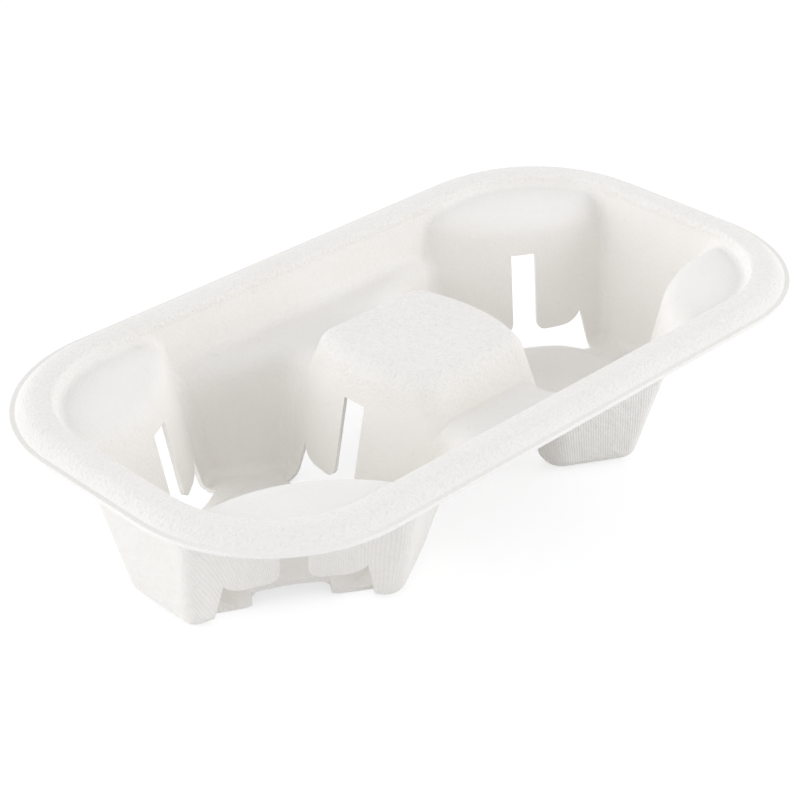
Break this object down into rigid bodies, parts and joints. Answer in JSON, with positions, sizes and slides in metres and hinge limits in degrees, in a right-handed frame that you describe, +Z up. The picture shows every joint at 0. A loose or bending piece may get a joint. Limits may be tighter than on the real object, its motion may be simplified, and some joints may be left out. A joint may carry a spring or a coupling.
{
  "type": "cup carrier tray",
  "caption": "Shallow oblong carrier tray of moulded fibre with a rolled rim, a raised middle hump and round cup wells whose slotted pads grip a cup.",
  "frame": {"origin": "on the table under the middle of the tray, level with the bottoms of its feet", "axes": "+X along the tray's length, +Y across its width, +Z up"},
  "size_m": [0.22, 0.12, 0.0471],
  "materials": {
    "moulded_fibre": "matt off-white moulded plant fibre, finely pebbled above and marked by the forming screen below"
  },
  "bodies": {
    "root": {"carrier_tray": "moulded_fibre"}
  },
  "joints": []
}
